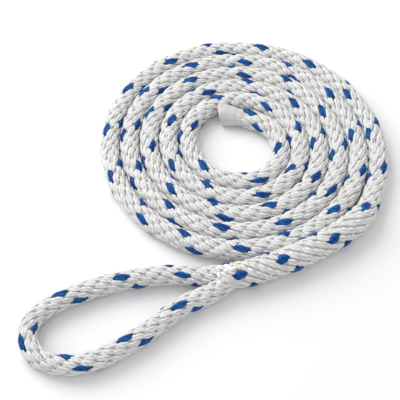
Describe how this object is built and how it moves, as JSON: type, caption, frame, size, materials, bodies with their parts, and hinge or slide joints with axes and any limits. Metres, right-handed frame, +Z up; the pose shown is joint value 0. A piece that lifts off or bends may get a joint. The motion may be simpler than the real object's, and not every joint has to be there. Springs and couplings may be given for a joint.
{
  "type": "coiled dock line",
  "caption": "Soft braided boat line wound into a flat round coil, with a spliced eye at its outer end and a heat-sealed inner end.",
  "frame": {"origin": "middle of the whole line's box, on the surface that it lies on", "axes": "+Z up from the surface; +Y from the eye towards the coil, the longer way across the line as it lies; +X to the right, so that the coil winds inwards anticlockwise from above"},
  "size_m": [0.1766, 0.2028, 0.0129],
  "materials": {
    "braided_rope": "soft white solid braid with one blue tracer strand",
    "melted_rope": "fibre melted hard and slightly grey",
    "white_yarn": "loose white multifilament yarn",
    "blue_tracer": "royal blue multifilament yarn"
  },
  "bodies": {
    "root": {"coil": "braided_rope", "sealed_end": "melted_rope", "eye_loop": "braided_rope", "splice_throat": "braided_rope", "splice_cover": "braided_rope", "buried_tail": "braided_rope", "yarn_ends": "white_yarn"}
  },
  "joints": []
}
